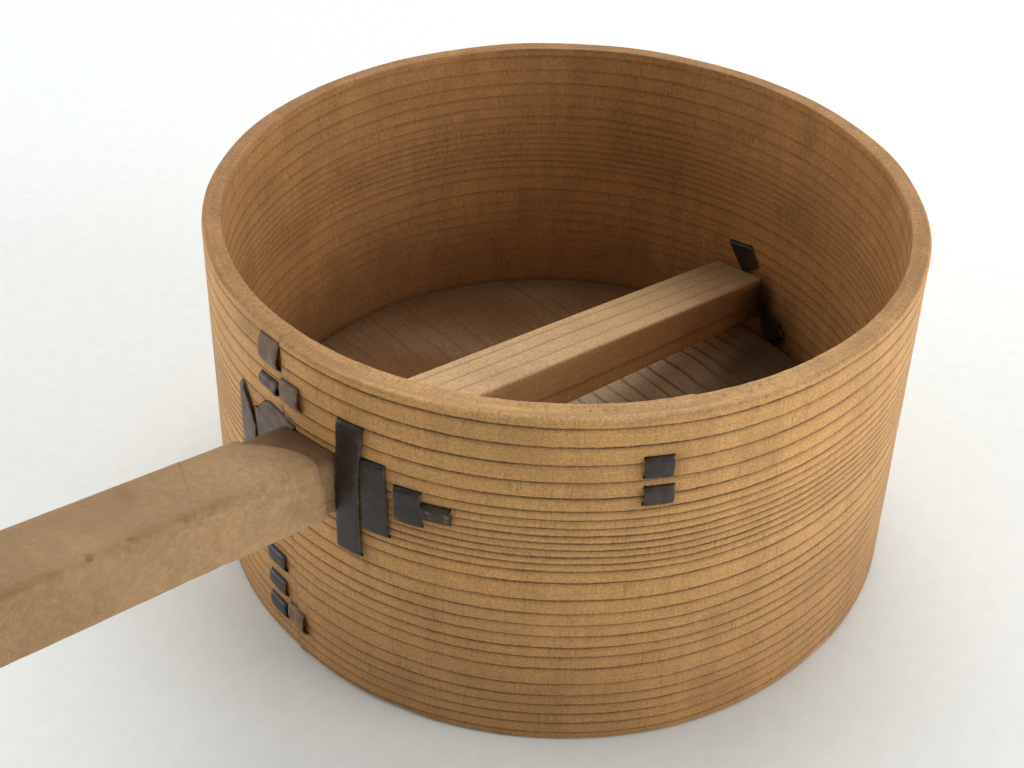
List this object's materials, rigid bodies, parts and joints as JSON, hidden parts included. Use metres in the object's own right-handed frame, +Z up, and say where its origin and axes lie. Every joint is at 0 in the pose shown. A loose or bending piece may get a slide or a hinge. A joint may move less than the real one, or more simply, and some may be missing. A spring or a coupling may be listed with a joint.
{
  "type": "bentwood water dipper",
  "caption": "Round bentwood cedar cup with a square paper-wrapped handle that passes through its wall and crosses the cup, laced with bark strips.",
  "frame": {"origin": "centre of the floor board's underside, on the cup's axis", "axes": "+Z up along the cup's axis; the handle points along -X and rises as it goes; +Y completes the right-handed frame"},
  "size_m": [0.462, 0.1676, 0.1266],
  "materials": {
    "cedar_band": "bare quarter-sawn cedar, aged to an orange tan, dark growth rings running round the cup",
    "cedar_board": "bare cedar with straight rings, greyed by water",
    "handle_wood": "planed softwood with fine lengthwise rings",
    "kraft_paper": "matt brown paper, worn fuzzy and creased",
    "cherry_bark": "dark brown bark with a soft sheen"
  },
  "bodies": {
    "root": {"cup_wall": "cedar_band", "floor_board": "cedar_board", "handle_bar": "handle_wood", "grip_wrap": "kraft_paper", "bark_lap_upper": "cherry_bark", "bark_lap_lower": "cherry_bark", "bark_lap_foot": "cherry_bark", "bark_lap_edge_upper": "cherry_bark", "bark_lap_edge_lower": "cherry_bark", "bark_inner_end": "cherry_bark", "bark_right_1": "cherry_bark", "bark_right_2": "cherry_bark", "bark_right_3": "cherry_bark", "bark_right_4": "cherry_bark", "bark_left_1": "cherry_bark", "bark_left_2": "cherry_bark", "bark_far_end": "cherry_bark"}
  },
  "joints": []
}
